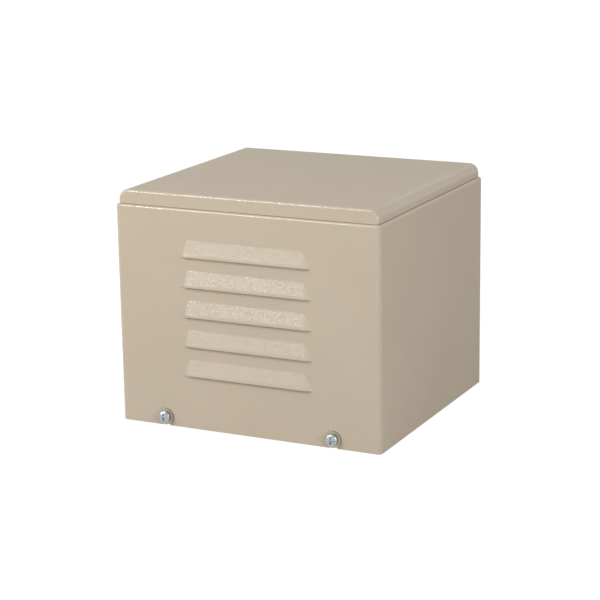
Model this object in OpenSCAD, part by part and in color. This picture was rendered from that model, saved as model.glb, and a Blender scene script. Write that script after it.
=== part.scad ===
// Ventilated sheet-steel enclosure for a transformer: a louvred hood with a raised lid,
// held by four screws on a base tray that carries rails, an earth stud and cable grommets.
// The front faces -Y, and the middle of the tray's underside is the origin.

/* [Hood] */
// Outside width of the hood, left to right
body_w = 210; // [190:1:300]
// Outside depth of the hood, front to back
body_d = 195; // [180:1:300]
// Height of the hood's top face above the floor
body_h = 164.6; // [155:0.1:260]
// Thickness of the sheet that hood, lid and tray are folded from
sheet = 1.5; // [1:0.1:1.8]
// Outside radius of the hood's vertical corner bends
corner_r = 3.2; // [3:0.1:8]
// Inside radius of the bend along the hood's top edge
top_bend_in = 0.3; // [0.1:0.1:0.9]
// Reach of the flange round the top opening, inwards past the lid studs
flange_lap = 5.5; // [5:0.5:15]
// Height of the hood's bottom edge above the floor
hood_clear = 0.5; // [0.3:0.1:2]

/* [Louvres] */
// Number of louvres in a stack
louvre_count = 5; // [2:1:5]
// Height from one lip to the next
louvre_pitch = 22.2; // [18:0.1:24]
// Height of the lowest lip above the floor
louvre_low = 41; // [40:0.5:48]
// Length of a louvre at its lip
louvre_len = 105; // [60:1:130]
// Height of a louvre from its lip to its top
louvre_h = 13.5; // [12:0.5:16]
// How far a lip stands out from the wall
louvre_proud = 2.6; // [2.4:0.1:4]
// Radius of the crown behind a lip
louvre_crown_r = 12; // [6:0.5:16]
// Radius of the hollow where the slope leaves the wall
louvre_hollow_r = 10; // [4:0.5:12]
// Slope of a louvre's ends from the wall, in degrees
louvre_end_slope = 34; // [25:1:50]
// Lean of a louvre's ends towards its top, in degrees
louvre_end_lean = 27; // [10:1:40]
// Height of the gap sheared below a lip
shear_gap = 0.4; // [0.2:0.1:0.8]

/* [Lid] */
// Height of the lid's skirt and top together
lid_h = 10.2; // [9.5:0.1:20]
// Height of the shadow gap between hood and lid
lid_gap = 0.2; // [0.1:0.1:3]
// Distance that the lid is set in from the hood's walls
lid_inset = 2; // [1:0.1:4]
// Outside radius of the wide bends along the lid's two sides
lid_side_r = 7; // [5:0.1:9]
// Inside radius of the tight bends round the lid's front and back
lid_bend_in = 0.3; // [0.1:0.1:1.2]
// Thread diameter of the lid studs
lid_stud_d = 4; // [3:0.5:5]

/* [Base tray] */
// Height of the tray's walls
tray_wall_h = 20; // [19.5:0.5:30]
// Gap between the tray's walls and the hood
tray_fit = 0.4; // [0.3:0.1:1]
// Inside radius of the bend round the tray's floor
tray_bend_in = 1; // [0.5:0.1:1.5]
// Diameter of the four holes that fix the tray to a floor or wall
mount_hole_d = 7; // [5:0.5:9]
// Distance of a fixing hole from the tray's walls, to the sides
mount_edge_x = 13; // [10:0.5:16]
// Distance of a fixing hole from the tray's walls, front and back
mount_edge_y = 13; // [10:0.5:16]

/* [Cover screws] */
// Thread diameter of the cover screws
screw_d = 5; // [4:0.5:6]
// Length of a screw under its head
screw_len = 10.5; // [9:0.5:14]
// Distance of a screw from the hood's side wall
screw_edge = 37; // [20:0.5:40]
// Height of a screw above the hood's bottom edge
screw_rise = 7; // [6.6:0.1:9]
// Diameter of a screw head
head_d = 9; // [7:0.1:10]
// Height of a screw head
head_h = 3.6; // [3:0.1:5]
// Radius of a screw head's domed top
head_crown_r = 9; // [8:0.5:20]
// Outside diameter of a cover washer
washer_d = 12.5; // [10.5:0.1:13]
// Thickness of a cover washer
washer_t = 1.2; // [0.8:0.1:2]
// Gap left between washer and hood, so that the hood can slide
cover_slack = 0.2; // [0.2:0.1:1]

/* [Cable entry] */
// Width of the cut-out in the hood's back wall
entry_w = 92; // [84:1:110]
// Height of the top of the cut-out above the floor
entry_top = 31; // [30:0.5:34]
// Overlap of the entry plate behind the hood, round the cut-out
entry_lap = 7; // [4:0.5:8]
// Distance between the two grommets
grommet_pitch = 40; // [28:1:42]
// Height of a grommet's centre above the floor
grommet_z = 17.5; // [16:0.5:18.5]
// Diameter of the hole that a grommet sits in
grommet_hole_d = 16; // [12:0.5:18]
// Diameter of the cable bore in a grommet
grommet_bore_d = 10; // [6:0.5:11]
// Width of a grommet's rims past its hole
grommet_rim = 3; // [2:0.1:4]
// Thickness of each rim
grommet_rim_t = 2.6; // [2:0.1:3]
// Gap between the rims and the notch in the tray's back wall
grommet_room = 1; // [0.5:0.1:1.5]
// Diameter of the rivets that hold the entry plate
rivet_d = 3.2; // [2.4:0.1:3.2]

/* [Transformer rails] */
// Length of a rail
rail_len = 150; // [120:1:155]
// Distance from the tray's front or back wall to the middle of a rail
rail_edge = 44.1; // [40:0.1:52]
// Height of a rail
rail_h = 12; // [10:0.5:16]
// Width of a rail's crown
rail_crown_w = 24; // [20:0.5:28]
// Width of each foot from the rail's web
rail_foot_w = 14; // [13:0.5:15]
// Thickness of the rail's strip
rail_t = 2; // [1.5:0.1:2.5]
// Outside radius of the rail's bends
rail_bend_r = 3; // [2.6:0.1:4]
// Width of the slots in a rail's crown
slot_w = 7; // [5:0.5:9]
// Length of a slot from end to end
slot_len = 30; // [14:1:40]
// Distance between the middles of a rail's slots
slot_pitch = 80; // [60:1:90]
// Thread diameter of the studs that hold the rails
rail_stud_d = 5; // [4:0.5:5]
// Distance of a rail stud from the rail's end
rail_stud_end = 10; // [8:0.5:12]

/* [Earth stud] */
// Thread diameter of the earth stud
earth_d = 6; // [5:0.5:8]
// Height of the earth stud above the tray's floor
earth_h = 22; // [18:0.5:30]
// Distance of the earth stud from the tray's left wall
earth_edge = 13; // [11:0.5:16]

/* [Hidden] */
$fn = 96;

// Radial gap between a thread and the hole or nut round it
thread_gap = 0.1;
// Radial gap between a screw and the plain hole that it passes through
hole_gap = 0.5;
// Depth by which a louvre's hollow runs under the wall's face
hollow_dip = 0.05;
// Length that cutting shapes run past a face
past = 1;

coat = "#c6b498";
zinc = "#c3c6c8";
galvanised = "#aab0b3";
rubber = "#26262a";

// Bends
top_bend_r = sheet + top_bend_in;
lid_bend_r = sheet + lid_bend_in;
tray_bend_r = sheet + tray_bend_in;

// Tray
tray_w = body_w - 2 * (sheet + tray_fit);
tray_d = body_d - 2 * (sheet + tray_fit);
tray_relief = corner_r + sheet;
mount_x = tray_w / 2 - sheet - mount_edge_x;
mount_y = tray_d / 2 - sheet - mount_edge_y;

// Cover screws
screw_x = body_w / 2 - screw_edge;
screw_z = hood_clear + screw_rise;
washer_y = body_d / 2 + cover_slack;
clinch_d = screw_d + 4;
clinch_h = 0.8 * screw_d;
clinch_shank_d = screw_d + 1.4;
recess_w = 0.26 * screw_d;
recess_depth = 0.45 * head_h;

// Louvres: the steepest angle of the S-shaped slope between a crown and a hollow
slope_radii = louvre_crown_r + louvre_hollow_r;
slope_spare = slope_radii - louvre_proud - hollow_dip;
louvre_slope = asin(slope_radii / norm([louvre_h, slope_spare])) - atan2(slope_spare, louvre_h);

// Lid
lid_w = body_w - 2 * lid_inset;
lid_d = body_d - 2 * lid_inset;
lid_z = body_h + lid_gap;
lid_under = lid_z + lid_h - sheet;
lid_stud_base_d = lid_stud_d + 1.6;
lid_stud_base_t = 0.8;
lid_nut_h = lid_stud_d + 0.6;
lid_stud_len = lid_under - body_h + sheet + lid_nut_h + 2;
spacer_d = lid_stud_base_d + 2.6;
spacer_bore_d = lid_stud_base_d + 0.4;
spacer_room = 0.8;
lid_stud_edge = lid_inset + lid_side_r + spacer_room + spacer_d / 2;
lid_stud_x = body_w / 2 - lid_stud_edge;
lid_stud_y = body_d / 2 - lid_stud_edge;
flange_w = lid_stud_edge + flange_lap;

// Cable entry
entry_corner_r = 4;
plate_w = entry_w + 2 * entry_lap;
plate_low = tray_bend_r + 0.5;
plate_top = entry_top + entry_lap;
plate_y = tray_d / 2 - sheet;
rim_d = grommet_hole_d + 2 * grommet_rim;
notch_w = grommet_pitch + rim_d + 2 * grommet_room;
notch_low = grommet_z - rim_d / 2 - grommet_room;
rivet_head_d = 2 * rivet_d;
rivet_head_h = 0.35 * rivet_d;
rivet_bulb_d = 1.5 * rivet_d;
rivet_x = (notch_w + entry_w) / 4;
rivet_zs = [plate_low + 0.75 * rivet_head_d, tray_wall_h - 0.75 * rivet_head_d];

// Rails
rail_y = tray_d / 2 - sheet - rail_edge;
rail_nut_h = rail_stud_d;
rail_stud_len = rail_t + rail_nut_h + 2.5;
rail_stud_x = rail_len / 2 - rail_stud_end;
rail_foot_flat = rail_bend_r - rail_t;
rail_stud_y = rail_crown_w / 2 + (rail_foot_w + rail_foot_flat) / 2;

// Earth stud and what is stacked on its base
earth_x = earth_edge + sheet - tray_w / 2;
earth_base_t = 1;
earth_washer_t = 0.27 * earth_d;
earth_tooth_t = 0.2 * earth_d;
earth_washer_z = sheet + earth_base_t;
earth_tooth_z = earth_washer_z + earth_washer_t;
earth_nut_z = earth_tooth_z + earth_tooth_t;
earth_teeth = 10;

// Section of a bend: a quarter ring in the first quadrant
module bend_section(r_out, t) {
    intersection() {
        difference() {
            circle(r_out);
            circle(r_out - t);
        }
        square(2 * r_out);
    }
}

// Section of one side of a folded pan, from the axis of its rounded corners outwards
module pan_section(reach, h, bend_r, t) {
    translate([reach - t, 0]) square([t, h - bend_r]);
    translate([reach - bend_r, h - bend_r]) bend_section(bend_r, t);
    translate([0, h - t]) square([reach - bend_r, t]);
}

// Flat top with four sides folded down and rounded corners
module folded_pan(w, d, h, round_r, bend_r, t) {
    translate([round_r - w / 2, round_r - d / 2, h - t])
        cube([w - 2 * round_r, d - 2 * round_r, t]);
    for (turn = [0:3]) {
        across = turn % 2 == 0 ? w : d;
        along = turn % 2 == 0 ? d : w;
        rotate(90 * turn) translate([across / 2 - round_r, along / 2 - round_r, 0]) {
            rotate([90, 0, 0])
                linear_extrude(along - 2 * round_r)
                    pan_section(round_r, h, bend_r, t);
            rotate_extrude(angle = 90) pan_section(round_r, h, bend_r, t);
        }
    }
}

// Point where the crown of a louvre, moved inward into the sheet, passes into its straight slope
function crown_end(inward) =
    let (r = louvre_crown_r - inward)
        [r * sin(louvre_slope), louvre_proud - louvre_crown_r + r * cos(louvre_slope)];

// Crown of a louvre from its lip at 0 to its straight slope, drawn down to base
module crown_section(inward, base) {
    intersection() {
        translate([0, louvre_proud - louvre_crown_r]) circle(louvre_crown_r - inward);
        translate([0, base]) square([crown_end(inward)[0], louvre_proud - base + past]);
    }
}

// Section of the space under a louvre, which runs straight from its crown down to base
module slope_section(inward, base) {
    upper = crown_end(inward);
    crown_section(inward, base);
    polygon([[upper[0], base], [upper[0] + (upper[1] - base) / tan(louvre_slope), base], upper]);
}

// Outer section of a louvre: its crown, a straight slope and the hollow that meets the wall
module louvre_section(base) {
    hollow_z = louvre_hollow_r - hollow_dip;
    upper = crown_end(0);
    lower = [louvre_h - louvre_hollow_r * sin(louvre_slope), hollow_z - louvre_hollow_r * cos(louvre_slope)];
    crown_section(0, base);
    polygon([[upper[0], base], [lower[0], base], lower, upper]);
    difference() {
        translate([lower[0], base]) square([louvre_h - lower[0], lower[1] - base]);
        translate([louvre_h, hollow_z]) circle(louvre_hollow_r);
    }
}

// Block that cuts the right end of a louvre to a slope that leans inwards
module end_block(inward) {
    reach = louvre_len + louvre_h;
    translate([louvre_len / 2, 0, 0])
        rotate(louvre_end_lean)
            rotate([0, louvre_end_slope, 0])
                translate([-reach, -reach, -inward])
                    cube([2 * reach, 2 * reach, reach]);
}

// A louvre's section drawn out along X between its two end slopes, with its lip at Y = 0
module louvre_form(inward) {
    difference() {
        translate([-louvre_len / 2 - 2 * past, 0, 0])
            rotate([90, 0, 90])
                linear_extrude(louvre_len + 4 * past) children();
        end_block(inward);
        mirror([1, 0, 0]) end_block(inward);
    }
}

// Copies children to the louvres of the front and back walls, with +Z pointing out of the wall
module at_louvres(drop) {
    for (face = [0, 180], i = [0:louvre_count - 1])
        rotate(face)
            translate([0, -body_d / 2, louvre_low + i * louvre_pitch - drop])
                rotate([90, 0, 0])
                    children();
}

// The sheet that a louvre adds outside the wall
module louvre_skin() {
    louvre_form(0) louvre_section(-sheet / 2);
}

// The space under a louvre, through the wall
module louvre_space() {
    low = -sheet - past;
    louvre_form(sheet) slope_section(sheet, low);
}

// Copies children to the four cover screws, with +Z pointing out of the wall
module at_cover_screws(wall_y) {
    for (face = [0, 180], side = [-1, 1])
        rotate(face) translate([side * screw_x, -wall_y, screw_z]) rotate([90, 0, 0]) children();
}

// Copies children to the four corners of a rectangle
module at_corners(x, y) {
    for (sx = [-1, 1], sy = [-1, 1]) translate([sx * x, sy * y, 0]) children();
}

// Moves children to one grommet's place, with +Z pointing out of the back wall
module at_grommet(side) {
    translate([side * grommet_pitch / 2, plate_y, grommet_z]) rotate([-90, 0, 0]) children();
}

// Slot with round ends, centred, along X
module slot_cut(len, w, depth) {
    straight = len - w;
    translate([-straight / 2, -w / 2, 0]) cube([straight, w, depth]);
    for (side = [-1, 1]) translate([side * straight / 2, 0, 0]) cylinder(d = w, h = depth);
}

// Notch that opens at the hood's bottom edge and lets it drop over a cover screw
module cover_notch() {
    w = screw_d + 2 * hole_gap;
    depth = sheet + 2 * past;
    cylinder(d = w, h = depth);
    translate([-w / 2, -screw_z, 0]) cube([w, screw_z, depth]);
}

// Upright panel in the XY plane, centred on X, with rounded upper corners
module arched_panel(w, low, high, depth) {
    inner = w - 2 * entry_corner_r;
    shoulder = high - entry_corner_r;
    translate([-w / 2, low, 0]) cube([w, shoulder - low, depth]);
    translate([-inner / 2, low, 0]) cube([inner, high - low, depth]);
    for (side = [-1, 1]) translate([side * inner / 2, shoulder, 0]) cylinder(r = entry_corner_r, h = depth);
}

// Copies children to the four rivets of the entry plate, with +Z pointing out of the tray's back wall
module at_rivets() {
    for (side = [-1, 1], z = rivet_zs)
        translate([side * rivet_x, tray_d / 2, z]) rotate([-90, 0, 0]) children();
}

// Hole for a rivet through the tray's wall and the entry plate
module rivet_hole() {
    depth = 2 * sheet + 2 * past;
    translate([0, 0, past - depth]) cylinder(d = rivet_d + 2 * thread_gap, h = depth);
}

module hood() {
    opening_w = body_w - 2 * flange_w;
    opening_d = body_d - 2 * flange_w;
    color(coat) difference() {
        union() {
            translate([0, 0, hood_clear])
                folded_pan(body_w, body_d, body_h - hood_clear, corner_r, top_bend_r, sheet);
            at_louvres(0) louvre_skin();
        }
        at_louvres(shear_gap) louvre_space();
        translate([-opening_w / 2, -opening_d / 2, body_h - sheet - past])
            cube([opening_w, opening_d, sheet + 2 * past]);
        at_cover_screws(body_d / 2 - sheet - past) cover_notch();
        translate([0, body_d / 2 + past, 0])
            rotate([90, 0, 0])
                arched_panel(entry_w, -past, entry_top, sheet + 2 * past);
        at_corners(lid_stud_x, lid_stud_y)
            translate([0, 0, body_h - sheet - past])
                cylinder(d = lid_stud_d + hole_gap, h = sheet + 2 * past);
    }
}

// The lid is two half pans that face the front and the back and meet in the middle
module roof_lid() {
    color(coat) translate([0, 0, lid_z]) intersection() {
        translate([-lid_w / 2, -lid_d / 2, 0]) cube([lid_w, lid_d, lid_h]);
        union() for (face = [0, 180])
            rotate([90, 0, face]) folded_pan(lid_w, 2 * lid_h, lid_d / 2, lid_side_r, lid_bend_r, sheet);
    }
}

module lid_studs() {
    color(zinc) at_corners(lid_stud_x, lid_stud_y) {
        translate([0, 0, lid_under - lid_stud_base_t]) cylinder(d = lid_stud_base_d, h = lid_stud_base_t);
        translate([0, 0, lid_under - lid_stud_len])
            cylinder(d = lid_stud_d, h = lid_stud_len - lid_stud_base_t);
    }
}

module lid_spacers() {
    height = lid_under - body_h;
    color(zinc) at_corners(lid_stud_x, lid_stud_y)
        translate([0, 0, body_h]) difference() {
            cylinder(d = spacer_d, h = height);
            translate([0, 0, -past]) cylinder(d = spacer_bore_d, h = height + 2 * past);
        }
}

// Hexagon nut that stands on the XY plane, with its upper corners turned off
module hex_nut(thread_d, height) {
    flats = 1.6 * thread_d;
    corners = flats / cos(30);
    chamfer = (corners - flats) / 2;
    difference() {
        intersection() {
            cylinder(d = corners, h = height, $fn = 6);
            rotate_extrude() polygon([
                [0, 0], [corners / 2 + past, 0], [corners / 2 + past, height - chamfer - past],
                [flats / 2, height], [0, height]
            ]);
        }
        translate([0, 0, -past]) cylinder(d = thread_d + 2 * thread_gap, h = height + 2 * past);
    }
}

// Hexagon nut with a round flange under it
module flange_nut(thread_d, height) {
    flange_d = 2.15 * thread_d;
    flange_t = 0.25 * thread_d;
    hex_nut(thread_d, height);
    difference() {
        cylinder(d = flange_d, h = flange_t);
        translate([0, 0, -past]) cylinder(d = thread_d + 2 * thread_gap, h = height);
    }
}

module lid_nuts() {
    color(zinc) at_corners(lid_stud_x, lid_stud_y)
        translate([0, 0, body_h - sheet]) rotate([180, 0, 0]) flange_nut(lid_stud_d, lid_nut_h);
}

// Section of the tray's folded edge, with its outer face at 0
module tray_section() {
    translate([-sheet, tray_bend_r]) square([sheet, tray_wall_h - tray_bend_r]);
    translate([-tray_bend_r, tray_bend_r]) mirror([0, 1]) bend_section(tray_bend_r, sheet);
}

// Floor and four walls of the tray, open at the corners
module folded_tray() {
    floor_w = tray_w - 2 * tray_bend_r;
    floor_d = tray_d - 2 * tray_bend_r;
    translate([-floor_w / 2, -floor_d / 2, 0]) cube([floor_w, floor_d, sheet]);
    for (turn = [0:3]) {
        across = turn % 2 == 0 ? tray_w : tray_d;
        run = (turn % 2 == 0 ? tray_d : tray_w) - 2 * tray_relief;
        rotate(90 * turn) translate([across / 2, run / 2, 0])
            rotate([90, 0, 0]) linear_extrude(run) tray_section();
    }
}

module base_tray() {
    color(coat) difference() {
        folded_tray();
        at_corners(mount_x, mount_y)
            translate([0, 0, -past]) cylinder(d = mount_hole_d, h = sheet + 2 * past);
        at_cover_screws(tray_d / 2 - sheet - past)
            cylinder(d = clinch_shank_d, h = sheet + 2 * past);
        translate([0, tray_d / 2 + past, notch_low])
            rotate([90, 0, 0])
                translate([0, tray_wall_h, 0])
                    mirror([0, 1, 0])
                        arched_panel(notch_w, 0, tray_wall_h, sheet + 2 * past);
        at_rivets() rivet_hole();
    }
}

module entry_plate() {
    color(coat) difference() {
        translate([0, plate_y, 0]) rotate([90, 0, 0]) arched_panel(plate_w, plate_low, plate_top, sheet);
        for (side = [-1, 1])
            at_grommet(side)
                translate([0, 0, -sheet - past]) cylinder(d = grommet_hole_d, h = sheet + 2 * past);
        at_rivets() rivet_hole();
    }
}

// Blind rivet with a domed head outside and a set bulb inside
module entry_rivets() {
    dome_r = (rivet_head_d * rivet_head_d / 4 + rivet_head_h * rivet_head_h) / (2 * rivet_head_h);
    color(zinc) at_rivets() {
        rotate_extrude() intersection() {
            square([rivet_head_d / 2, rivet_head_h]);
            translate([0, rivet_head_h - dome_r]) circle(dome_r);
        }
        translate([0, 0, -2 * sheet]) cylinder(d = rivet_d, h = 2 * sheet);
        translate([0, 0, -2 * sheet]) rotate_extrude() intersection() {
            circle(d = rivet_bulb_d);
            translate([0, -rivet_bulb_d]) square([rivet_bulb_d, rivet_bulb_d]);
        }
    }
}

module clinch_nuts() {
    color(zinc) at_cover_screws(tray_d / 2) difference() {
        union() {
            translate([0, 0, -sheet]) cylinder(d = clinch_shank_d - 2 * thread_gap, h = sheet);
            translate([0, 0, -sheet - clinch_h]) cylinder(d = clinch_d, h = clinch_h);
        }
        translate([0, 0, -sheet - clinch_h - past])
            cylinder(d = screw_d + 2 * thread_gap, h = sheet + clinch_h + 2 * past);
    }
}

module cover_washers() {
    color(zinc) at_cover_screws(washer_y) difference() {
        cylinder(d = washer_d, h = washer_t);
        translate([0, 0, -past]) cylinder(d = screw_d + hole_gap, h = washer_t + 2 * past);
    }
}

// Crossed driver recess, one arm of which runs right across the head
module driver_recess() {
    for (arm = [[0, head_d + past], [90, 0.62 * head_d]])
        rotate(arm[0])
            translate([-arm[1] / 2, -recess_w / 2, head_h - recess_depth])
                cube([arm[1], recess_w, recess_depth + past]);
}

module cover_screws() {
    color(zinc) at_cover_screws(washer_y + washer_t) {
        translate([0, 0, -screw_len]) cylinder(d = screw_d, h = screw_len);
        difference() {
            rotate_extrude() intersection() {
                square([head_d / 2, head_h + past]);
                translate([0, head_h - head_crown_r]) circle(head_crown_r);
            }
            driver_recess();
        }
    }
}

// Half of the top-hat section of a rail
module rail_half_section() {
    web_x = rail_crown_w / 2;
    foot_x = web_x + rail_foot_flat;
    translate([0, rail_h - rail_t]) square([web_x - rail_bend_r, rail_t]);
    translate([web_x - rail_bend_r, rail_h - rail_bend_r]) bend_section(rail_bend_r, rail_t);
    translate([web_x - rail_t, rail_bend_r]) square([rail_t, rail_h - 2 * rail_bend_r]);
    translate([foot_x, rail_bend_r]) rotate(180) bend_section(rail_bend_r, rail_t);
    translate([foot_x, 0]) square([rail_foot_w - rail_foot_flat, rail_t]);
}

// Slotted top-hat rail along X, standing on the XY plane
module mounting_rail() {
    difference() {
        translate([-rail_len / 2, 0, 0]) rotate([90, 0, 90]) linear_extrude(rail_len) {
            rail_half_section();
            mirror([1, 0]) rail_half_section();
        }
        for (side = [-1, 1])
            translate([side * slot_pitch / 2, 0, rail_h - rail_t - past])
                slot_cut(slot_len, slot_w, rail_t + 2 * past);
        at_corners(rail_stud_x, rail_stud_y)
            translate([0, 0, -past]) cylinder(d = rail_stud_d + hole_gap, h = rail_t + 2 * past);
    }
}

// Copies children to the middle of one rail's place on the floor
module at_rail(side) {
    translate([0, side * rail_y, sheet]) children();
}

module rail_front() {
    color(galvanised) at_rail(-1) mounting_rail();
}

module rail_rear() {
    color(galvanised) at_rail(1) mounting_rail();
}

module floor_studs() {
    color(zinc) for (side = [-1, 1])
        at_rail(side) at_corners(rail_stud_x, rail_stud_y) cylinder(d = rail_stud_d, h = rail_stud_len);
}

module rail_nuts() {
    color(zinc) for (side = [-1, 1])
        at_rail(side) at_corners(rail_stud_x, rail_stud_y)
            translate([0, 0, rail_t]) flange_nut(rail_stud_d, rail_nut_h);
}

module earth_stud() {
    color(zinc) translate([earth_x, 0, sheet]) {
        cylinder(d = earth_d + 2, h = earth_base_t);
        translate([0, 0, earth_base_t]) cylinder(d = earth_d, h = earth_h - earth_base_t);
    }
}

module earth_washer() {
    color(zinc) translate([earth_x, 0, earth_washer_z]) difference() {
        cylinder(d = 2 * earth_d, h = earth_washer_t);
        translate([0, 0, -past]) cylinder(d = earth_d + hole_gap, h = earth_washer_t + 2 * past);
    }
}

module earth_tooth_washer() {
    tooth_w = 0.3 * earth_d;
    color(zinc) translate([earth_x, 0, earth_tooth_z]) difference() {
        union() {
            cylinder(d = 1.5 * earth_d, h = earth_tooth_t);
            for (i = [0:earth_teeth - 1])
                rotate(i * 360 / earth_teeth)
                    translate([0, -tooth_w / 2, 0]) cube([0.93 * earth_d, tooth_w, earth_tooth_t]);
        }
        translate([0, 0, -past]) cylinder(d = earth_d + hole_gap, h = earth_tooth_t + 2 * past);
    }
}

module earth_nut() {
    color(zinc) translate([earth_x, 0, earth_nut_z]) hex_nut(earth_d, 0.8 * earth_d);
}

// Rubber grommet with two rims and a groove between them, its outer rim along +Z
module grommet() {
    bore_r = grommet_bore_d / 2;
    groove_r = grommet_hole_d / 2 - thread_gap;
    rim_r = grommet_hole_d / 2 + grommet_rim;
    round_r = grommet_rim_t / 2;
    rotate_extrude() {
        for (z = [0, -sheet - grommet_rim_t]) {
            translate([bore_r, z]) square([rim_r - round_r - bore_r, grommet_rim_t]);
            translate([rim_r - round_r, z + round_r]) intersection() {
                circle(round_r);
                translate([0, -grommet_rim_t]) square(2 * grommet_rim_t);
            }
        }
        translate([bore_r, -sheet]) square([groove_r - bore_r, sheet]);
    }
}

module grommet_left() {
    color(rubber) at_grommet(-1) grommet();
}

module grommet_right() {
    color(rubber) at_grommet(1) grommet();
}

base_tray();
hood();
roof_lid();
lid_studs();
lid_spacers();
lid_nuts();
cover_screws();
cover_washers();
clinch_nuts();
rail_front();
rail_rear();
floor_studs();
rail_nuts();
earth_stud();
earth_washer();
earth_tooth_washer();
earth_nut();
entry_plate();
entry_rivets();
grommet_left();
grommet_right();
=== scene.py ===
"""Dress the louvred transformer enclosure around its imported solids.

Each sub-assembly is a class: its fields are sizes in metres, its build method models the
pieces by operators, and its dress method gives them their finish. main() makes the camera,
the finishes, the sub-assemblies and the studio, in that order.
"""

import logging
import math
from collections.abc import Callable, Iterator, Sequence
from contextlib import contextmanager
from dataclasses import dataclass, field
from enum import Enum

import bpy
from mathutils import Matrix, Vector


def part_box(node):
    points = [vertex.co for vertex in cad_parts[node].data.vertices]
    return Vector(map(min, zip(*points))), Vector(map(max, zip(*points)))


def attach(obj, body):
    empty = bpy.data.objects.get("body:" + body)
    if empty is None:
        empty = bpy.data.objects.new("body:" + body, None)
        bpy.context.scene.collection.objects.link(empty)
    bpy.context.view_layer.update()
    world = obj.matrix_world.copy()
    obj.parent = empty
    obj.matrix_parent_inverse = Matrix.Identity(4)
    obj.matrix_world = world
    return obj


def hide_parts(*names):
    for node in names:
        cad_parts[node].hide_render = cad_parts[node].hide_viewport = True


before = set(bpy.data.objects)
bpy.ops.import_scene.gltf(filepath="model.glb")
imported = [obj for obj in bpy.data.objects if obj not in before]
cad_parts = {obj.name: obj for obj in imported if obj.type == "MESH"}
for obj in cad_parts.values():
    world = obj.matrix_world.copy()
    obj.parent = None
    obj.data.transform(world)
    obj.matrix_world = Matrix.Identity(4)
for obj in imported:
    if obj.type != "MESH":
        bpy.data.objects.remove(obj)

log = logging.getLogger("enclosure")

MM = 0.001
WELD = 0.002 * MM
SHARP_DEG = 40
FACING = 0.9
FULL_TURN = 2 * math.pi

Colour = tuple[float, float, float]
Profile = Sequence[tuple[float, float]]


class Select(Enum):
    """What an operator takes hold of in edit mode."""

    POINTS = "VERT"
    EDGES = "EDGE"
    FACES = "FACE"


class Body(Enum):
    """The bodies that pieces ride on."""

    BASE = "base"
    COVER = "cover"


class Slot(Enum):
    """The record's material slots."""

    COAT = "powder_coat"
    ZINC = "zinc_plate"
    GALVANISED = "galvanised"
    RUBBER = "rubber"


class Cut(Enum):
    """How one solid changes another."""

    ADD = "UNION"
    TAKE = "DIFFERENCE"
    KEEP = "INTERSECT"


@dataclass(frozen=True)
class Span:
    """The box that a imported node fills, from its lowest to its highest corner."""

    low: Vector
    high: Vector

    @classmethod
    def of(cls, node: str) -> "Span":
        """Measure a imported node.

        Args:
            node: The node's name.

        Returns:
            The node's box at rest.
        """
        low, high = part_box(node)
        return cls(low, high)

    @property
    def middle(self) -> Vector:
        """The middle of the box."""
        return (self.low + self.high) / 2

    @property
    def width(self) -> float:
        """The size of the box along X."""
        return self.high.x - self.low.x

    @property
    def height(self) -> float:
        """The size of the box along Z."""
        return self.high.z - self.low.z

    def corner_centres(self, radius: float) -> list[tuple[float, float]]:
        """Find the plan centres of four round pieces that touch the box's sides.

        Args:
            radius: The radius of each piece.

        Returns:
            The x and y of the four centres.
        """
        xs = (self.low.x + radius, self.high.x - radius)
        ys = (self.low.y + radius, self.high.y - radius)
        return [(x, y) for x in xs for y in ys]


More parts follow.
